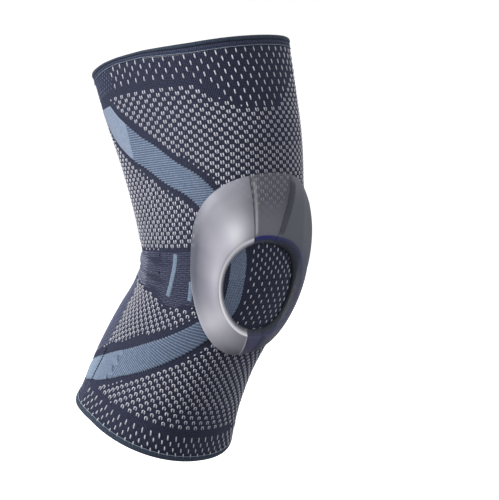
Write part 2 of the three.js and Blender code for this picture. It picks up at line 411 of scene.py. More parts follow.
def colour(code):
    """Linear colour of an sRGB hex code."""
    parts = [int(code[i : i + 2], 16) / 255 for i in (1, 3, 5)]
    return tuple(p / 12.92 if p <= 0.04045 else ((p + 0.055) / 1.055) ** 2.4 for p in parts) + (1.0,)


def node(material, kind, inputs=(), **settings):
    """A node with its settings. inputs: (own input, other node, its output) or (own input, value)."""
    made = material.node_tree.nodes.new(kind)
    for name, value in settings.items():
        if name in made.inputs:
            made.inputs[name].default_value = value
        else:
            setattr(made, name, value)
    for own, *source in inputs:
        if len(source) == 2:
            join(material, *source, made, own)
        else:
            made.inputs[own].default_value = source[0]
    return made


def finish(name, **settings):
    """A material with a Principled shader, and that shader."""
    material = bpy.data.materials.new(name)
    material.use_nodes = True
    shader = material.node_tree.nodes["Principled BSDF"]
    for socket, value in settings.items():
        shader.inputs[socket.replace("_", " ")].default_value = value
    return material, shader


def join(material, source, output, target, socket):
    material.node_tree.links.new(source.outputs[output], target.inputs[socket])


def ramp(material, source, output, *stops):
    """A Color Ramp node. stops: each a place and a colour's hex code."""
    made = node(material, "ShaderNodeValToRGB", [("Fac", source, output)])
    elements = made.color_ramp.elements
    while len(elements) < len(stops):
        elements.new(0.5)
    for element, (place, code) in zip(elements, stops):
        element.position = place
        element.color = colour(code)
    return made


def multiply_add(material, *terms):
    """A Math node. terms: each a node and its output, or a number."""
    inputs = [(place, *term) for place, term in enumerate(terms)]
    return node(material, "ShaderNodeMath", inputs, operation="MULTIPLY_ADD")


def mix(material, amount, first, second, blend="MIX"):
    """A Mix node. amount, first and second: each a node and its output, or a value."""
    inputs = [("Fac", *amount), ("Color1", *first), ("Color2", *second)]
    return node(material, "ShaderNodeMixRGB", inputs, blend_type=blend)


def noise(material, place, scale, detail):
    return node(material, "ShaderNodeTexNoise", [("Vector", place, "Object")], Scale=scale, Detail=detail)


WAVE_TURN = 2 * math.pi / 20  # a Wave texture's own length, so that a scale is a count


def wave(material, place, output, count):
    return node(material, "ShaderNodeTexWave", [("Vector", place, output)], Scale=count * WAVE_TURN)


def relief(material, shader, source, output, strength, distance=0.0004):
    height = [("Height", source, output)]
    bump = node(material, "ShaderNodeBump", height, Strength=strength, Distance=distance)
    join(material, bump, "Normal", shader, "Normal")


def navy_knit():
    # Elastic rib knit in navy polyamide: matt, with fine upright columns of
    # loops, faint rows across them and slightly heathered yarn
    material, shader = finish(
        "navy_elastic_knit",
        Roughness=0.86,
        Sheen_Weight=0.22,
        Sheen_Roughness=0.45,
        Sheen_Tint=colour("#9aa4c4"),
        Specular_IOR_Level=0.25,
    )
    uv = node(material, "ShaderNodeTexCoord")
    wales = wave(material, uv, "UV", WALES_ROUND)
    turned = node(material, "ShaderNodeMapping", [("Vector", uv, "UV")], Rotation=(0, 0, math.pi / 2))
    rows = wave(material, turned, "Vector", SLEEVE_LENGTH / COURSE)
    flecks = ramp(material, noise(material, uv, 750, 2), "Fac", (0.4, "#000000"), (0.62, "#ffffff"))
    loops = multiply_add(material, (wales, "Fac"), (rows, "Fac"), (0,))
    mixed = multiply_add(material, (wales, "Fac"), (0.55,), (loops, "Value"))
    tone = ramp(material, mixed, "Value", (0, "#12141f"), (0.55, "#232638"), (1, "#3a3f57"))
    spotted = mix(material, (flecks, "Color"), (tone, "Color"), (colour("#20232f"),), "SCREEN")
    cloud = noise(material, uv, 28, 3)
    clouded = mix(material, (cloud, "Fac"), (tone, "Color"), (spotted, "Color"))
    join(material, clouded, "Color", shader, "Base Color")
    relief(material, shader, mixed, "Value", 0.55)
    return material


def welt_knit(name, dark, middle, light):
    # Double welt knit: denser than the tube, with short upright loops that read
    # as a fine grid
    material, shader = finish(
        name,
        Roughness=0.85,
        Sheen_Weight=0.3,
        Sheen_Roughness=0.4,
        Sheen_Tint=colour("#a8b4cc"),
        Specular_IOR_Level=0.25,
    )
    uv = node(material, "ShaderNodeTexCoord")
    wales = wave(material, uv, "UV", WALES_ROUND)
    mixed = multiply_add(material, (wales, "Fac"), (0.5,), (noise(material, uv, 800, 2), "Fac"))
    tone = ramp(material, mixed, "Value", (0.3, dark), (0.65, middle), (1, light))
    join(material, tone, "Color", shader, "Base Color")
    relief(material, shader, mixed, "Value", 0.5)
    return material


def yarn(name, dark, light, sheen):
    # Textured polyamide yarn, spun and matt: soft light and dark along the strand
    material, shader = finish(
        name, Roughness=0.8, Sheen_Weight=sheen, Sheen_Roughness=0.4, Specular_IOR_Level=0.3
    )
    fluff = noise(material, node(material, "ShaderNodeTexCoord"), 650, 3)
    tone = ramp(material, fluff, "Fac", (0.3, dark), (0.7, light))
    join(material, tone, "Color", shader, "Base Color")
    relief(material, shader, fluff, "Fac", 0.3, 0.0003)
    return material


# Values painted on the ring's points: violet tint, milkiness, painted light, body and painted shade
LOOKS = ("pad_tint", "pad_milk", "pad_painted_light", "pad_body", "pad_painted_shade")


def clear_silicone():
    # Moulded silicone, milky grey and see-through where it is thin: soft wide
    # highlights on the milky part and a violet window wall. The lit rim at the window
    # and the lighter patches on the lobe are painted light: whitened colour that also
    # glows by emission. The dark lines at the joins are painted shade
    material, shader = finish(
        "milky_silicone", IOR=1.41, Specular_IOR_Level=0.4, Coat_Roughness=0.26, Emission_Strength=0.22
    )
    tint, milky, painted_light, body, painted_shade = (
        node(material, "ShaderNodeAttribute", attribute_name=name) for name in LOOKS
    )
    cloud = noise(material, node(material, "ShaderNodeTexCoord"), 35, 2)
    milk = ramp(material, cloud, "Fac", (0.3, "#b9b6c2"), (0.7, "#cbc9d2"))
    mixed = mix(material, (milky, "Fac"), (colour("#5c616b"),), (milk, "Color"))
    # painted shade darkens the colour and painted light whitens it
    for amount, code in ((tint, "#34367e"), (painted_shade, "#1b1f2e"), (painted_light, "#f2f2f6")):
        mixed = mix(material, (amount, "Fac"), (mixed, "Color"), (colour(code),))
    rough = multiply_add(material, (milky, "Fac"), (-0.28,), (0.64,))
    coat = multiply_add(material, (milky, "Fac"), (0.28,), (0,))
    join(material, rough, "Value", shader, "Roughness")
    join(material, coat, "Value", shader, "Coat Weight")
    join(material, mixed, "Color", shader, "Base Color")
    # the painted light also glows as emission, though the ring is no lamp
    join(material, painted_light, "Fac", shader, "Emission Color")
    join(material, body, "Fac", shader, "Alpha")
    return material


# Shapes


def grid_piece(name, loops, closed_round=True, closed_along=False, caps=False, merge=1e-7, painted=None):
    """A grid primitive whose points are moved to loops, an array (along, round, 3) in metres.
    painted: named values, one for each point."""
    painted = painted or {}
    sides = loops.shape[1]
    layers = [loops] + [np.reshape(values, loops.shape[:2] + (1,)) for values in painted.values()]
    if closed_round:
        layers = [np.concatenate([layer, layer[:, :1]], axis=1) for layer in layers]
    if closed_along:
        layers = [np.concatenate([layer, layer[:1]], axis=0) for layer in layers]
    loops = layers[0]
    bpy.ops.object.select_all(action="DESELECT")
    bpy.ops.mesh.primitive_grid_add(
        x_subdivisions=loops.shape[1] - 1, y_subdivisions=loops.shape[0] - 1, size=1, location=(0, 0, 0)
    )
    made = bpy.context.object
    made.name = made.data.name = name
    made.data.vertices.foreach_set("co", loops.reshape(-1))
    for layer_name, values in zip(painted, layers[1:]):
        made.data.attributes.new(layer_name, "FLOAT", "POINT").data.foreach_set("value", values.reshape(-1))
    bpy.ops.object.mode_set(mode="EDIT")
    bpy.ops.mesh.select_all(action="SELECT")
    bpy.ops.mesh.remove_doubles(threshold=merge)
    if caps:
        bpy.ops.mesh.fill_holes(sides=sides)
    bpy.ops.mesh.select_all(action="SELECT")
    bpy.ops.mesh.normals_make_consistent(inside=False)
    bpy.ops.object.mode_set(mode="OBJECT")
    bpy.ops.object.shade_smooth()
    return made


def row_finishes(made, columns, materials, profile):
    """Gives each row of faces of a ring the finish that its profile names."""
    for material in materials:
        made.data.materials.append(material)
    rows = np.arange(len(made.data.polygons)) // columns
    made.data.polygons.foreach_set("material_index", np.array([row["finish"] for row in profile])[rows])


def add_wall(made, thickness):
    wall = made.modifiers.new("wall", "SOLIDIFY")
    wall.thickness = thickness
    wall.offset = -1
    bpy.context.view_layer.objects.active = made
    bpy.ops.object.modifier_apply(modifier=wall.name)


STRIP_WALL = 0.4


def strip(name, loops, material):
    """A thin strip of cloth through rows of points in metres."""
    made = grid_piece(name, np.array(loops), closed_round=False)
    add_wall(made, STRIP_WALL * MM)
    made.data.materials.append(material)
    return made


def strand(name, path, half_widths, rise, depth):
    """A short strand of yarn, modelled flat in millimetres.
    X is across the leg, Y up it and Z off the knit."""
    path = np.array(path, float)
    ahead = np.gradient(path, axis=0)
    ahead /= np.linalg.norm(ahead, axis=1, keepdims=True)
    sideways = np.stack([-ahead[:, 1], ahead[:, 0]], axis=1)
    loops = []
    for (x, y), (sx, sy), half, top in zip(path, sideways, half_widths, rise):
        loops.append(
            [
                (x - sx * half, y - sy * half, 0),
                (x, y, top),
                (x + sx * half, y + sy * half, 0),
                (x, y, -depth),
            ]
        )
    return grid_piece(name, np.array(loops), caps=True, merge=1e-5)


def lay(name, shape, places, lift, material, shift=row_shift):
    """Copies of one small shape on the knit, as one mesh, which follow its rows.
    places: height, turn, degrees of turn for each unit across, millimetres for each unit up,
    lean in degrees and share of the shape's thickness."""
    places = np.array(places, float)
    outline = np.array([v.co for v in shape.data.vertices])
    height, turn, degrees, tall, lean, rise = (places[:, i : i + 1] for i in range(6))
    up_scale, turn_scale = surface_scale(height, turn)
    across, up, off = outline[:, 0], outline[:, 1] * tall, outline[:, 2] * rise
    slant = np.tan(np.radians(lean)) * up / turn_scale
    turns = turn + across * degrees + slant
    level = shift(height, turns) - shift(height, turn)
    points = tube_point(height + level + up / up_scale, turns, lift + off) * MM
    count = len(outline)
    faces = [tuple(p.vertices) for p in shape.data.polygons]
    mesh = bpy.data.meshes.new(name)
    mesh.from_pydata(
        points.reshape(-1, 3).tolist(),
        [],
        [tuple(v + i * count for v in face) for i in range(len(places)) for face in faces],
    )
    made = bpy.data.objects.new(name, mesh)
    bpy.context.collection.objects.link(made)
    mesh.materials.append(material)
    mesh.shade_smooth()
    return made


def ring_sections(rows, lifts, columns):
    """Loops round the tube, one for each pair of knit row and lift."""
    shares = np.arange(columns) / columns
    loops = []
    for row, lift in zip(rows, lifts):
        turns = turn_at(row, shares)
        loops.append(tube_point(course(row, turns), turns, lift) * MM)
    return np.array(loops)


# The bands' place on the knit

BAND_SAMPLES = 600
band_places = np.linspace(0, len(BAND_ROUTE) - 1, BAND_SAMPLES)
band_shares = along_table(BAND_ROUTE, "along", band_places)
band_heights = np.where(band_shares < 0, band_shares * SHIN_LENGTH, band_shares * THIGH_LENGTH)
band_turns = along_table(BAND_ROUTE, "turn", band_places)
band_halves = BAND_WIDTH / 2 * along_table(BAND_ROUTE, "width", band_places)
band_line = tube_point(band_heights, band_turns, 0)


BAND_TURNS = np.arange(8, 150, 0.2)  # turns from the front that are tried for a band's edges


def band_turn_at(height):
    """Turn of a band's middle line, in degrees from the front."""
    return np.interp(height, band_heights[::-1], band_turns[::-1])


def band_gap(height, turn):
    """Millimetres from a place to the nearest band's edge, negative on the band."""
    height, turn = np.broadcast_arrays(np.asarray(height, float), np.abs(np.asarray(turn, float)))
    points = tube_point(height, turn, 0).reshape(-1, 1, 3)
    away = np.linalg.norm(points - band_line, axis=2)
    nearest = np.argmin(away, axis=1)
    gap = away[np.arange(len(nearest)), nearest] - band_halves[nearest]
    return gap.reshape(height.shape)


def band_span(row, shift=None):
    """Turns from the front where a row meets a band and leaves it, or None.
    shift: how the row rises and falls, if it isn't level."""
    heights = row + (shift(row, BAND_TURNS) if shift else 0)
    on_band = BAND_TURNS[(band_gap(heights, BAND_TURNS) < 0) & (heights <= BAND_TOP)]
    return (on_band[0], on_band[-1]) if len(on_band) else None


# Patterns of the knit


def pattern_off(turn):
    """Degrees from the middle of the front's pattern, whose inner border is the steeper one."""
    off = turn - PATTERN_TURN
    steeper = FLAT_BORDER + (off - FLAT_BORDER) * INNER_STEEPNESS
    return np.where(off > FLAT_BORDER, steeper, np.abs(off))


PANEL_MARGIN = 1.8  # plain knit round the ribbed panel


def dense_zone(height, turn):
    """True where the knit has dense marks."""
    off = pattern_off(turn)
    from_front = np.abs(turn)
    inside = (height < border(DENSE_UPPER_BORDER, off)) & (height > border(DENSE_LOWER_BORDER, off))
    behind = from_front > band_turn_at(height)
    widening = np.interp(from_front, WIDE_MARGIN_TURNS, WIDE_MARGINS)
    inside &= band_gap(height, turn) > np.where(behind & (np.asarray(height) < 0), widening, PLAIN_MARGIN)
    panel = height < course(PANEL_TOP, turn) + PANEL_MARGIN
    panel &= height > border(PANEL_LOWER_BORDER, from_front) - PANEL_MARGIN
    patella = (height < PATELLA_TOP) & (height > PATELLA_BOTTOM)
    return inside & ~(behind & panel) & ~(~behind & patella)


MARK_HALF = 0.9  # millimetres from a mark's middle to each of its upright strands
CUT_MARK = 2.0  # a mark this near a border is cut down to one stitch


def knit_row(row, number, columns=MARKS_ROUND):
    """Heights, turns and degrees for a millimetre, of the stitches in one row."""
    turns = turn_at(row, (np.arange(columns) + 0.5 * (number % 2)) / columns)
    heights = course(row, turns)
    _, scale = surface_scale(heights, turns)
    return heights, turns, 1 / scale


LEAN_CHANGE = -60  # height from which the calf's lean passes into the thigh's
LEAN_CHANGE_LENGTH = 90


def stitch_lean(height, turn):
    thigh, calf = (between_rows(STITCH_LEANS, "turn", part, turn) for part in ("thigh", "calf"))
    return calf + (thigh - calf) * np.clip((height - LEAN_CHANGE) / LEAN_CHANGE_LENGTH, 0, 1)


def dense_marks(lowest, highest):
    """Places for whole marks and for the single stitches at the borders."""
    whole, single = [], []
    for number, row in enumerate(np.arange(134, -134, -DENSE_ROW)):
        heights, turns, degrees = knit_row(row, number)
        left_half, right_half, near_left, near_right = (
            dense_zone(heights, turns + away * degrees)
            for away in (-MARK_HALF, MARK_HALF, -CUT_MARK, CUT_MARK)
        )
        columns = zip(heights, turns, degrees, left_half & right_half, near_left, near_right)
        for height, turn, degree, on, left, right in columns:
            if not lowest < height < highest:
                continue
            if on:
                whole.append((height, turn, degree, 1, stitch_lean(height, turn), 1))
            elif left or right:
                side = -MARK_HALF if left else MARK_HALF
                single.append((height + 0.5, turn + side * degree, degree * 0.9, 1.4, 0, 0.9))
    return whole, single


def dashes(rows, lengths, keep, lean=stitch_lean):
    places = []
    for number, (row, length) in enumerate(zip(rows, lengths)):
        for height, turn, degree in zip(*knit_row(row, number)):
            if keep(row, turn):
                places.append((height, turn, degree, length, lean(height, turn), 1))
    return places


# The camera, the floor and the light

azimuth, elevation = math.radians(VIEW_AZIMUTH), math.radians(VIEW_ELEVATION)
right = np.array([math.cos(azimuth), math.sin(azimuth), 0])
back = np.array(
    [math.sin(azimuth) * math.cos(elevation), -math.cos(azimuth) * math.cos(elevation), math.sin(elevation)]
)
upward = np.cross(back, right)
bpy.ops.object.camera_add(location=tuple(back * VIEW_DISTANCE + right * VIEW_RIGHT + upward * VIEW_UP))
camera = bpy.context.object
camera.name = "camera"
camera.rotation_euler = (math.pi / 2 - elevation, 0, azimuth)
camera.data.lens = LENS
camera.data.sensor_width = 36
camera.data.clip_end = 50
bpy.context.scene.camera = camera

FLOOR = -0.26

bpy.ops.mesh.primitive_plane_add(size=30, location=(0, 0, FLOOR))
floor = bpy.context.object
floor.name = "floor"
# Matt white paint: even and bright, so that the floor runs into the background
floor_paint, _ = finish(
    "matt_white_floor",
    Roughness=0.9,
    Base_Color=colour("#f4f4f4"),
    Emission_Color=colour("#ffffff"),
    Emission_Strength=0.66,
)
floor.data.materials.append(floor_paint)
floor.visible_diffuse = False
floor.visible_glossy = False

bpy.ops.mesh.primitive_uv_sphere_add(segments=48, ring_count=24, radius=14, location=(0, 0, 0))
backdrop = bpy.context.object
backdrop.name = "white_backdrop"
# Evenly lit white paper all round, which only the camera sees, so that it
# doesn't flood the object with light
backdrop_paper, _ = finish(
    "lit_white_paper",
    Roughness=1.0,
    Base_Color=colour("#000000"),
    Emission_Color=colour("#ffffff"),
    Emission_Strength=1.0,
)
backdrop.data.materials.append(backdrop_paper)
backdrop.visible_diffuse = False
backdrop.visible_glossy = False
backdrop.visible_transmission = False
backdrop.visible_shadow = False

world = bpy.data.worlds.new("studio")
world.use_nodes = True
sky_place = node(world, "ShaderNodeTexCoord")
sky_height = node(world, "ShaderNodeSeparateXYZ", [("Vector", sky_place, "Generated")])
sky_share = multiply_add(world, (sky_height, "Z"), (0.5,), (0.5,))
sky = ramp(world, sky_share, "Value", (0.35, "#d4d4dc"), (0.65, "#fbfbfd"))
join(world, sky, "Color", world.node_tree.nodes["Background"], "Color")
world.node_tree.nodes["Background"].inputs["Strength"].default_value = 0.5
bpy.context.scene.world = world
bpy.context.scene.view_settings.view_transform = "Standard"


def softbox(name, spot, aim, size, power):
    bpy.ops.object.light_add(type="AREA", location=spot)
    light = bpy.context.object
    light.name = name
    light.data.shape = "RECTANGLE"
    light.data.size, light.data.size_y = size
    light.data.energy = power
    way = np.array(aim) - np.array(spot)
    light.rotation_euler = (
        math.atan2(math.hypot(way[0], way[1]), -way[2]),
        0,
        math.atan2(way[1], way[0]) - math.pi / 2,
    )


softbox("key_softbox", (-1.95, 0.7, 0.9), (0, 0, 0.02), (1.0, 1.4), 56)
softbox("front_softbox", (-1.0, -2.0, 1.1), (0, 0, 0), (1.2, 1.2), 15)
softbox("rear_softbox", (1.6, 1.9, 1.2), (0, 0, 0), (1.2, 1.2), 14)


# Finishes in use

SLEEVE_LOW = -SHIN_LENGTH + BOTTOM_WELT_HEIGHT + GAP
SLEEVE_HIGH = THIGH_LENGTH - TOP_WELT_HEIGHT - GAP
SLEEVE_LENGTH = SLEEVE_HIGH - SLEEVE_LOW

NAVY = navy_knit()
WELT = welt_knit("slate_welt_knit", "#202734", "#2e3746", "#3f4a5a")
WELT_STRIP = welt_knit("navy_welt_strip_knit", "#181c2b", "#2a2f43", "#454b63")
OFF_WHITE = yarn("off_white_yarn", "#b0b0ba", "#dadae0", 0.2)
# grey-lilac yarn, also used as the painted shade of the marks behind the calf
FAINT = yarn("grey_lilac_and_shade_yarn", "#5a5e78", "#7b8099", 0.2)
LIGHT_BLUE = yarn("light_blue_yarn", "#6b7a8f", "#8595aa", 0.3)
BRIGHT_BLUE = yarn("bright_blue_yarn", "#8090a6", "#9aaac0", 0.3)
DEEP_BLUE = yarn("deep_blue_ground_yarn", "#465268", "#556278", 0.1)
LAVENDER = yarn("lavender_grey_yarn", "#748297", "#8b98ac", 0.3)
PALE_BLUE = yarn("pale_blue_yarn", "#68788c", "#7e8ea2", 0.2)
LINE_YARN = yarn("grey_blue_line_yarn", "#7b8a9c", "#9aa8b6", 0.2)
NAVY_RIB = yarn("navy_rib_yarn", "#33374f", "#484d68", 0.3)
# lighter lilac rib yarn: painted sheen at the panel's back
LILAC_SHEEN_RIB = yarn("lilac_painted_sheen_rib_yarn", "#666a80", "#868a9f", 0.3)
# dark navy yarn for the dotted lines, also painted crease shade on the panel
DARK_NAVY_AND_SHADE = yarn("dark_navy_and_shade_yarn", "#14172a", "#22263c", 0.1)
# Near black yarns for the welts' edges and grooves: painted shadow and painted shade
WELT_EDGE_SHADOW = yarn("painted_edge_shadow_yarn", "#171c28", "#262d3c", 0.15)
GROOVE_SHADE = yarn("painted_groove_shade_yarn", "#12151f", "#1e2330", 0.05)
SILICONE = clear_silicone()


def on_cloth(made, *nodes, slot=None):
    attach(made, "root")
    if nodes:
        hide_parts(*nodes)


# The knitted tube

SLEEVE_COLUMNS = 174
SLEEVE_ROWS = 120
outer_heights = np.linspace(SLEEVE_LOW, SLEEVE_HIGH, SLEEVE_ROWS + 1)
sleeve = grid_piece("knitted_tube", ring_sections(outer_heights, [0] * len(outer_heights), SLEEVE_COLUMNS))
add_wall(sleeve, KNIT_WALL * MM)
sleeve.data.materials.append(NAVY)
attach(sleeve, "root")
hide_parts("knit_sleeve")

# The welts: a rolled edge, a groove and a flat strip

# up: millimetres above the welt's lower edge. lift: off the tube. finish: of
# the strip from this row to the next, 0 slate, 1 dark edge of painted shadow,
# 2 groove darkened with painted shade, 3 navy.
TOP_WELT_PROFILE = table(
    "up lift finish",
    (0.0, -1.9, 3),
    (0.3, -2.3, 3),
    (4.0, -2.4, 3),
    (7.0, -2.3, 1),
    (7.85, -1.5, 1),
    (8.0, -0.7, 1),
    (7.8, 0.1, 1),
    (7.3, 0.6, 0),
    (6.6, 0.85, 0),
    (5.8, 0.9, 0),
    (5.2, 0.7, 0),
    (4.85, 0.3, 2),
    (4.55, -0.1, 2),
    (4.25, 0.15, 3),
    (3.8, 0.45, 3),
    (2.9, 0.55, 3),
    (2.0, 0.5, 2),
    (1.7, 0.35, 3),
    (1.4, 0.5, 3),
    (0.4, 0.4, 3),
    (0.0, 0.0, 3),
    (0.0, -1.0, 3),
)
BOTTOM_WELT_PROFILE = table(
    "up lift finish",
    (0.0, -1.0, 1),
    (0.2, -1.9, 1),
    (0.9, -2.4, 3),
    (4.0, -2.4, 3),
    (4.4, -1.9, 2),
    (4.4, -0.2, 2),
    (4.25, 0.1, 2),
    (3.95, 0.3, 0),
    (3.4, 0.7, 0),
    (2.6, 0.95, 0),
    (1.8, 0.95, 0),
    (1.1, 0.85, 1),
    (0.5, 0.6, 1),
    (0.1, -0.2, 1),
)
WELT_FINISHES = [WELT, WELT_EDGE_SHADOW, GROOVE_SHADE, WELT_STRIP]

for node_name, lower_edge, profile in (
    ("top_welt", THIGH_LENGTH - TOP_WELT_HEIGHT, TOP_WELT_PROFILE),
    ("bottom_welt", -SHIN_LENGTH, BOTTOM_WELT_PROFILE),
):
    heights = [lower_edge + row["up"] for row in profile]
    sections = ring_sections(heights, [row["lift"] for row in profile], SLEEVE_COLUMNS)
    welt = grid_piece("rolled_" + node_name, sections, closed_along=True)
    row_finishes(welt, SLEEVE_COLUMNS, WELT_FINISHES, profile)
    on_cloth(welt, node_name, slot="welt_knit")

# Stitch shapes, each modelled once

half_path = [(-0.86, 1.4), (-0.9, 0.4), (-0.88, -0.75), (-0.6, -1.2)]
u_path = half_path + [(-x, y) for x, y in half_path[::-1]]
n_path = [(x, -y) for x, y in u_path]
thin_bar = [0.42, 0.56, 0.5, 0.1, 0.1, 0.5, 0.56, 0.42]
thin_bar_tops = [0.2, 0.42, 0.34, 0, 0, 0.34, 0.42, 0.2]
thick_bar = [0.26, 0.44, 0.5, 0.36, 0.36, 0.5, 0.44, 0.26]
thick_bar_tops = [0.1, 0.34, 0.38, 0.3, 0.3, 0.38, 0.34, 0.1]
dash_path = [(0, 0.5), (0, 0.32), (0, 0), (0, -0.32), (0, -0.5)]
dash_halves = [0.28, 0.52, 0.6, 0.52, 0.28]
dot_path = [(0, 0.5), (0, 0), (0, -0.5)]
rib_path = [(x, 0) for x in (-1, -0.97, -0.75, -0.5, -0.25, 0, 0.25, 0.5, 0.75, 0.97, 1)]
rib_halves = [0.3] + [0.46] * 9 + [0.3]
short_path = [(x, 0) for x in (-1, -0.7, 0, 0.7, 1)]
short_halves = [0.2, 0.45, 0.5, 0.45, 0.2]
u_stitch = strand("u_stitch", u_path, thin_bar, thin_bar_tops, 0.1)
n_stitch = strand("n_stitch", n_path, thick_bar, thick_bar_tops, 0.1)
dash_stitch = strand("dash_stitch", dash_path, dash_halves, [0.2, 0.5, 0.6, 0.5, 0.2], 0.12)
thin_stitch = strand("thin_stitch", dot_path, [0.2, 0.36, 0.2], [0.15, 0.3, 0.15], 0.1)
rib_stitch = strand("rib_stitch", rib_path, rib_halves, [0.3] + [0.62] * 9 + [0.3], 0.1)
short_rib = strand("short_rib", short_path, short_halves, [0.15, 0.5, 0.6, 0.5, 0.15], 0.1)
spot_stitch = strand("spot_stitch", dot_path, [0.25, 0.4, 0.25], [0.3, 0.5, 0.3], 0.1)
shapes = [u_stitch, n_stitch, dash_stitch, thin_stitch, rib_stitch, short_rib, spot_stitch]

# Dense marks: open upwards above the knee and downwards below it

upper_marks, upper_dots = dense_marks(4, 140)
lower_marks, lower_dots = dense_marks(-140, 0)
on_cloth(lay("marks_above_knee", u_stitch, upper_marks, 0, OFF_WHITE))
# Behind the calf the marks take grey-lilac yarn instead of off-white: painted shade at the calf's back
SHADED_BACK = 119  # degrees from the front where the calf's marks turn faint
CALF_TOP = -30
clear_marks = [place for place in lower_marks if abs(place[1]) < SHADED_BACK or place[0] > CALF_TOP]
shaded_calf_marks = [place for place in lower_marks if abs(place[1]) >= SHADED_BACK and place[0] <= CALF_TOP]
on_cloth(lay("marks_below_knee", n_stitch, clear_marks, 0, OFF_WHITE))
on_cloth(lay("marks_behind_calf_painted_shade", n_stitch, shaded_calf_marks, 0, FAINT))
on_cloth(lay("single_stitches", dash_stitch, upper_dots + lower_dots, 0, OFF_WHITE))

# Sparse dashes in the two cuffs and over the kneecap

THIGH_CUFF_BACK = 100  # degrees from the front where the dashes turn faint
CALF_CUFF_BACK = 112
THIGH_DASH = 3.6
CALF_DASH = 3.3
FIRST_CALF_DASH = 4.2
PATELLA_DASH = 2.7
PATELLA_LEAN = 4  # degrees, to the leg's middle on either side
FAINT_DASH = 2.2


def thigh_cuff(row, turn):
    return row > border(CUFF_LOWER_BORDER, pattern_off(turn)) and abs(turn) < THIGH_CUFF_BACK


def calf_cuff(row, turn):
    return abs(turn) < CALF_CUFF_BACK


def over_kneecap(row, turn):
    return abs(turn) < PATELLA_SIDE and PATELLA_BOTTOM + 1 < course(row, turn) < PATELLA_TOP - 1


def kneecap_lean(height, turn):
    return -PATELLA_LEAN * math.copysign(1, turn)


thigh_rows = np.arange(136, 92, -THIGH_CUFF_ROW)
calf_rows = np.arange(-123.2, -134.8, -CALF_CUFF_ROW)
cuff_dashes = dashes(thigh_rows, [THIGH_DASH] * len(thigh_rows), thigh_cuff)
cuff_dashes += dashes(calf_rows, [FIRST_CALF_DASH] + [CALF_DASH] * len(calf_rows), calf_cuff)
on_cloth(lay("cuff_dashes", dash_stitch, cuff_dashes, 0, OFF_WHITE))
kneecap_rows = np.arange(30, -50, -PATELLA_ROW)
kneecap_dashes = dashes(kneecap_rows, [PATELLA_DASH] * len(kneecap_rows), over_kneecap, kneecap_lean)
on_cloth(lay("kneecap_dashes", dash_stitch, kneecap_dashes, 0, OFF_WHITE))

# Faint upright stitches in the backs of the cuffs

faint = []
for rows, start in (
    (np.arange(137, 122, -THIGH_CUFF_ROW / 1.5), THIGH_CUFF_BACK),
    (np.arange(-120, -134, -CALF_CUFF_ROW / 1.5), CALF_CUFF_BACK),
):
    for number, row in enumerate(rows):
        for height, turn, degree in zip(*knit_row(row, number, MARKS_ROUND * 2)):
            if abs(turn) >= start:
                faint.append((height, turn, degree, FAINT_DASH, 0, 0.8))
on_cloth(lay("faint_cuff_stitches", thin_stitch, faint, 0, FAINT))

# Support bands: a ground strip, one rib of yarn for each row of knit, and
# fine spots instead of ribs beside the kneecap and at the lower end

SPOT_PITCH = RIB_PITCH / 2
UPPER_END = 60  # the band's upper end is above this height, and its lower end
LOWER_END = -60  # below this one
GROUND_LIFT = 0.5
GROUND_INSET = 0.3  # degrees, so that the ribs reach past the ground
PATCH_LIFT = 0.62
RIB_LIFT = 0.3
SPOT_LIFT = 0.42


def upper_rib_end(height):
    """Turn from the front where an upper rib stops, a little past the smooth end's start."""
    return SMOOTH_END + 3 + 2.5 * math.sin(height * 0.9)


def lower_rib_end(height):
    """Turn from the front where a lower rib turns to spots. Neither of the two is quite even."""
    return SPOTTED_END + 2 * math.sin(height * 0.7)


def spotted(height, turn):
    beside_kneecap = SPOTTED_BOTTOM < height < SPOTTED_TOP
    lower_end = height < LOWER_END and turn > lower_rib_end(height)
    return beside_kneecap or lower_end


def band_yarns():
    """Places for the ribs and for the fine spots of the band on the inner side."""
    ribs, spots = [], []
    rows = [(row, RIB_PITCH) for row in np.arange(130, -35, -RIB_PITCH)]
    rows += [(row, LOWER_RIB_PITCH) for row in np.arange(rows[-1][0] - RIB_PITCH, -140, -LOWER_RIB_PITCH)]
    for row, pitch in rows:
        span = band_span(row, rib_shift)
        if not span:
            continue
        start, end = span
        if row > UPPER_END:
            end = min(end, upper_rib_end(row))
        if row < LOWER_END:
            end = min(end, lower_rib_end(row))
        turn = (start + end) / 2
        height = row + rib_shift(row, turn)
        if end - start > 1 and not SPOTTED_BOTTOM < height < SPOTTED_TOP:
            ribs.append((height, turn, (end - start) / 2, pitch, 0, 0.6))
    for number, row in enumerate(np.arange(40, -140, -SPOT_PITCH)):
        span = band_span(row, row_shift)
        if not span:
            continue
        for height, turn, degree in zip(*knit_row(row, number, WALES_ROUND)):
            if span[0] + 0.5 < turn < span[1] - 0.5 and spotted(height, turn):
                spots.append((height, turn, degree * 1.2, 0.85, 0, 0.7))
    return ribs, spots


def mirrored(places, side):
    return [(height, side * turn, *rest) for height, turn, *rest in places]


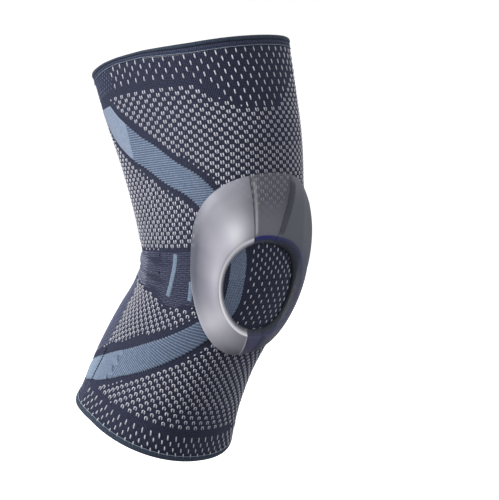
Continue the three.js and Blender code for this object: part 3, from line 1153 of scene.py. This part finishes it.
inner_ribs, inner_spots = band_yarns()
for side, band_name, node_name in (
    (-1, "outer_band", "outer_support_band"),
    (1, "inner_band", "inner_support_band"),
):
    ground_rows, patch_rows = [], []
    for height in np.arange(BAND_TOP, -130, -RIB_PITCH / 2):
        span = band_span(height)
        if not span:
            continue
        start, end = span
        turns = side * np.linspace(start + GROUND_INSET, end - GROUND_INSET, 17)
        ground_rows.append(tube_point(height, turns, GROUND_LIFT) * MM)
        if height > UPPER_END and end > SMOOTH_END + 1:
            turns = side * np.linspace(max(start, SMOOTH_END), end, 13)
            patch_rows.append(tube_point(height, turns, PATCH_LIFT) * MM)
    on_cloth(strip(band_name + "_ground", ground_rows, DEEP_BLUE), node_name, slot="light_knit")
    on_cloth(strip(band_name + "_smooth_end", patch_rows, LAVENDER), slot="light_knit")
    places = mirrored(inner_ribs, side)
    ribs = lay(band_name + "_ribs", rib_stitch, places, RIB_LIFT, LIGHT_BLUE, rib_shift)
    on_cloth(ribs, slot="light_knit")
    spots = lay(band_name + "_spots", spot_stitch, mirrored(inner_spots, side), SPOT_LIFT, BRIGHT_BLUE)
    on_cloth(spots, slot="light_knit")

# Ribbed panel behind the knee: low ribs across, lower still in the middle of
# each side

PANEL_RIB_PITCH = 1.45
PANEL_RIB_TURN = 5.2  # degrees that one rib of yarn covers
SMOOTH_MIDDLE = 90  # degrees from the front, where the panel is smoothest
SMOOTH_SPREAD = 13
SMOOTHNESS = 0.8
PANEL_RIB_RISES = 0.4, 0.52
PANEL_LIFT = -0.03
# Past this turn the ribs take a lighter lilac yarn: painted sheen towards the leg's back
SHEEN_RIBS_START = 104  # degrees from the front where the ribs turn light
knit_chance = np.random.default_rng(7)

panel_ribs, sheen_ribs = [], []
for number, row in enumerate(np.arange(PANEL_TOP + 4, -48, -PANEL_RIB_PITCH)):
    for turn in np.arange(40, 180, PANEL_RIB_TURN) + PANEL_RIB_TURN / 2 * (number % 2):
        height = course(row, turn)
        inside = border(PANEL_LOWER_BORDER, turn) < height < course(PANEL_TOP, turn)
        if not inside or turn <= band_turn_at(height) or band_gap(height, turn) < PLAIN_MARGIN:
            continue
        smooth = math.exp(-(((turn - SMOOTH_MIDDLE) / SMOOTH_SPREAD) ** 2))
        for side in (-1, 1):
            rise = (1 - SMOOTHNESS * smooth) * knit_chance.uniform(*PANEL_RIB_RISES)
            ribs = sheen_ribs if turn > SHEEN_RIBS_START else panel_ribs
            ribs.append((height, side * turn, PANEL_RIB_TURN / 2 * 1.04, 1.25, 0, rise))
on_cloth(lay("panel_ribs", short_rib, panel_ribs, PANEL_LIFT, NAVY_RIB))
on_cloth(lay("panel_back_ribs_painted_sheen", short_rib, sheen_ribs, PANEL_LIFT, LILAC_SHEEN_RIB))

# Dark navy spots in the panel's middle: painted shade of its small creases
panel_crease_shade_spots = [(height, side * 88, 1.9, 2.6, 0, 0.8) for side in (-1, 1) for height in (3.5, -9.5)]
on_cloth(lay("panel_crease_shade_spots", spot_stitch, panel_crease_shade_spots, 0.05, DARK_NAVY_AND_SHADE))

# Light strokes on the panel; the darker spots of painted shade behind them are laid above

STROKE_WIDTH = 3.5
FRONT_STROKE = [(-8.5, 62.3), (-12, 61.8), (-16, 61.4), (-20, 61)]
REAR_STROKE = [(6, 75.5), (2, 75.7), (-3, 76), (-8, 76.6), (-13, 77.3), (-18, 77.8), (-23, 78.2)]
STROKE_LIFTS = [0.2, 0.32, 0.34, 0.32, 0.2]


def stroke(name, route, side):
    """A flat raised strip of light yarn along a route of heights and turns."""
    route = np.array(route, float)
    fine = np.linspace(0, len(route) - 1, 40)
    heights = np.interp(fine, range(len(route)), route[:, 0])
    turns = np.interp(fine, range(len(route)), route[:, 1])
    _, scale = surface_scale(heights, turns)
    rows = []
    for height, turn, half in zip(heights, turns, STROKE_WIDTH / 2 / scale):
        across = side * np.linspace(turn - half, turn + half, 5)
        rows.append(tube_point(height, across, STROKE_LIFTS) * MM)
    on_cloth(strip(name, rows, PALE_BLUE))


for side, name in ((-1, "outer"), (1, "inner")):
    stroke(name + "_rear_stroke", REAR_STROKE, side)
    stroke(name + "_front_stroke", FRONT_STROKE, side)

# Dark dotted line across each lower band end

DOTTED_LINE = [(-92, 114), (-97, 113), (-108, 112.5), (-118, 112)]  # heights and turns
DOT_PITCH = 2.1
dots = []
for height in np.arange(-92, -118, -DOT_PITCH):
    turn = np.interp(-height, [-h for h, _ in DOTTED_LINE], [t for _, t in DOTTED_LINE])
    for side in (-1, 1):
        dots.append((height, side * turn, 1.5, 1.7, 0, 1.3))
on_cloth(lay("dotted_lines", spot_stitch, dots, 0.75, DARK_NAVY_AND_SHADE))

# Thin light lines of chain stitch under the top welt and over the bottom one

chain = []
for row in (LINE_UNDER_TOP_WELT, LINE_OVER_BOTTOM_WELT):
    for height, turn, degree in zip(*knit_row(row, 0, WALES_ROUND)):
        chain.append((height, turn, 0.62 * degree, 0.55, 0, 0.7))
on_cloth(lay("chain_stitch_lines", short_rib, chain, 0.42, LINE_YARN))

for shape in shapes:
    bpy.data.objects.remove(shape)

# The clear ring

KNEE_RADIUS = (KNEE_WIDTH / 2 + KNEE_DEPTH * SECTIONS[4]["front"]) / 2


def turn_of(length):
    return math.degrees(length / KNEE_RADIUS)


def pad_edge(angle):
    up, across = math.cos(math.radians(angle)), math.sin(math.radians(angle))
    power, reach = (PAD_TOP_POWER, PAD_RISE) if up > 0 else (PAD_BOTTOM_POWER, PAD_DROP)
    half_turn = turn_of(PAD_WIDTH / 2)
    return np.array([PAD_MIDDLE + reach * rounded(up, power), -PAD_TURN + half_turn * rounded(across, power)])


def window_edge(angle, flare):
    up = (WINDOW_HEIGHT / 2 + flare) * math.cos(math.radians(angle))
    across = (WINDOW_WIDTH / 2 + flare) * math.sin(math.radians(angle))
    return np.array([WINDOW_MIDDLE + up, -WINDOW_TURN + turn_of(across - up * WINDOW_SLANT)])


SEAT = BAND_THICKNESS + 2 * GAP
PROFILE_ACROSS = [row["across"] for row in PAD_PROFILE]
TOP_SHARES = np.concatenate(
    [np.linspace(0, 0.1, 6)[:-1], np.linspace(0.1, 0.9, 18)[:-1], np.linspace(0.9, 1, 5)]
)
WALL_SHARES = (0, 0.25, 0.5, 0.75)  # up the window's wall
SEAT_SHARES = (0, 0.2, 0.4, 0.6, 0.8)  # back under the ring


def profile_height(share):
    place = np.interp(share, PROFILE_ACROSS, range(len(PROFILE_ACROSS)))
    return along_table(PAD_PROFILE, "height", place)


def pad_section(inner, outer, drop, groove):
    foot, mouth, lip = window_edge(inner, 0), window_edge(inner, WINDOW_FLARE), pad_edge(outer)
    raised = ((1 + math.cos(math.radians(outer))) / 2) ** 2
    tallest = PAD_BOTTOM_HEIGHT + (PAD_TOP_HEIGHT - PAD_BOTTOM_HEIGHT) * raised
    lowest = PAD_PROFILE[-1]["height"]
    profile = profile_height(TOP_SHARES)
    sunk = drop * WEDGE_DROP * np.minimum(1, (profile - lowest) * 2)
    cut = groove * GROOVE_DEPTH * np.clip((profile - lowest) * 2.5, 0, 1)
    lifts = tallest * profile - sunk - cut
    places = [(*(foot + (mouth - foot) * s), lifts[0] * s**0.8) for s in WALL_SHARES]
    places += [(*(mouth + (lip - mouth) * s), lift) for s, lift in zip(TOP_SHARES, lifts)]
    places += [(*(lip + (foot - lip) * s), 0) for s in SEAT_SHARES]
    heights, turns, rise = np.array(places).T
    return tube_point(heights, turns, SEAT + rise) * MM


def smooth_step(low, high, value):
    t = min(max((value - low) / (high - low), 0), 1)
    return t * t * (3 - 2 * t)


def hump(value, middle, spread):
    return math.exp(-(((value - middle) / spread) ** 2))


def past(angle, start):
    """Degrees clockwise from a place on the outer edge, between -180 and 180."""
    return (angle - start + 180) % 360 - 180


# How milky the outer lobe is: whole where it is thick, less where it thins out.
# angle: degrees round the outer edge. inner, middle, outer: across the ring.
LOBE_MILK = table(
    "angle inner middle outer",
    (177, 0.5, 0.5, 0.15),
    (205, 0.9, 0.8, 0.65),
    (225, 1.0, 0.95, 0.8),
    (244, 1.0, 0.7, 0.35),
    (264, 1.0, 0.55, 0.12),
    (283, 1.0, 0.6, 0.12),
    (302, 1.0, 0.7, 0.35),
    (322, 1.0, 0.7, 0.5),
    (341, 0.7, 0.55, 0.4),
    (351, 0.5, 0.35, 0.3),
)


# In the function below, angles are degrees round the outer edge or past the
# start of a piece, and shares run from the window to the outer edge.
def silicone_look(angle, low, index):
    """The silicone's LOOKS at one point of a section.
    angle: degrees round the outer edge. low: share of the wedges' drop. index: the point's."""
    wall = len(WALL_SHARES)
    inner_lobe = PAD_PIECES[1]["outer"] <= angle < PAD_PIECES[2]["outer"]
    # Underside: below the inner lobe it is painted darker, painted shade that shows through the lobe's edge
    if index >= wall + len(TOP_SHARES):
        return (0.2, 0, 0, 0.92, 0.6) if inner_lobe else (0, 0, 0, 0, 0)
    first, second, third, fourth = (past(angle, piece["outer"]) for piece in PAD_PIECES)
    share = 0 if index < wall else TOP_SHARES[index - wall]
    edge = smooth_step(0.5, 0.95, share)
    outer_lobe = PAD_PIECES[3]["outer"] <= angle < PAD_PIECES[0]["outer"] + 360
    if outer_lobe:
        across = [between_rows(LOBE_MILK, "angle", part, angle) for part in ("inner", "middle", "outer")]
        milk = np.interp(share, (0.2, 0.5, 0.8), across)
        body, violet = 0.6 + 0.4 * milk, 0
        # light here is painted light: a painted highlight above the window's upper corner, lighter patches
        # low on the lobe and on its inner slope, and a painted highlight along the lip
        light = 0.5 * hump(angle, 329, 13) * hump(share, 0.22, 0.22)
        light += 0.3 * hump(angle, 226, 15) * (1 - 0.6 * edge)
        light += 0.14 * hump(angle, 265, 40) * hump(share, 0.1, 0.2)
        light += 0.5 * smooth_step(0.965, 1, share) * hump(angle, 236, 26)
    elif low and abs(first) < 60:
        body = 0.46 + 0.4 * (1 - smooth_step(0.15, 0.7, share))
        milk, violet, light = 0.22 + 0.1 * smooth_step(0.3, 0.8, share), 0, 0
    elif low:
        body, milk, violet, light = 0.78, 0.16, 0.4 - 0.2 * edge, 0
    else:
        body, milk, light = 0.88, 0.12 + 0.1 * edge, 0
        violet = 0.3 * (1 - smooth_step(0.02, 0.35, share)) * smooth_step(15, 50, second)
    # Along the joins between the pieces: dark lines of painted shade, partly over real grooves, and light
    # lines of painted highlight beside them
    streaks = smooth_step(0.02, 0.1, share) * (1 - smooth_step(0.8, 0.97, share))
    dark = max(0.75 * hump(first, 0.2, 0.8), hump(second, 0, 1.1), 0.6 * hump(third, 0, 0.8)) * streaks
    light += (0.4 * hump(first, 2.7, 1.1) + 0.3 * hump(fourth, 1.4, 1.2)) * streaks
    body = max(body, 0.9 * dark, light)
    if index < wall or share < 0.03:
        rise = min(index / wall, 1)
        # The outer lobe's window rim is whitened and glows: a painted highlight
        if outer_lobe:
            lit = smooth_step(0.55, 0.95, rise) * (0.5 + 0.5 * hump(angle, 236, 50))
            return 0, 0.9, max(light, lit), 0.3 + 0.7 * smooth_step(0.2, 0.8, rise), 0
        # The inner walls are painted darker towards their foot: painted shade
        near_top = hump(first, 10, 22)
        violet = smooth_step(0.4, 0.9, rise) * (0.3 + 0.7 * near_top)
        return violet, 0, 0, 0.6 + 0.3 * rise, (0.5 - 0.4 * rise) * (1 - near_top)
    return violet, milk, light, body, dark


pad_loops = []
pad_looks = []
for index, piece in enumerate(PAD_PIECES):
    following = PAD_PIECES[(index + 1) % len(PAD_PIECES)]
    wrap = 360 if index == len(PAD_PIECES) - 1 else 0
    for i in range(piece["columns"] + 1):
        share = (1 - math.cos(math.pi * i / piece["columns"])) / 2
        inset = WEDGE_STEP * (0.5 - share)
        inner = piece["inner"] + (following["inner"] + wrap - piece["inner"]) * share + inset
        outer = piece["outer"] + (following["outer"] + wrap - piece["outer"]) * share + inset
        span = following["outer"] + wrap - piece["outer"]
        groove = hump(min(share, 1 - share) * span, 0, GROOVE_SPREAD) if piece["low"] else 0
        section = pad_section(inner, outer, piece["low"], groove)
        pad_loops.append(section)
        pad_looks.append([silicone_look(outer % 360, piece["low"], n) for n in range(len(section))])
pad_looks = np.array(pad_looks)
painted = {name: pad_looks[..., n] for n, name in enumerate(LOOKS)}
pad = grid_piece("silicone_ring", np.array(pad_loops), closed_along=True, painted=painted)
pad.data.materials.append(SILICONE)
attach(pad, "root")
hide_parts("patella_pad")
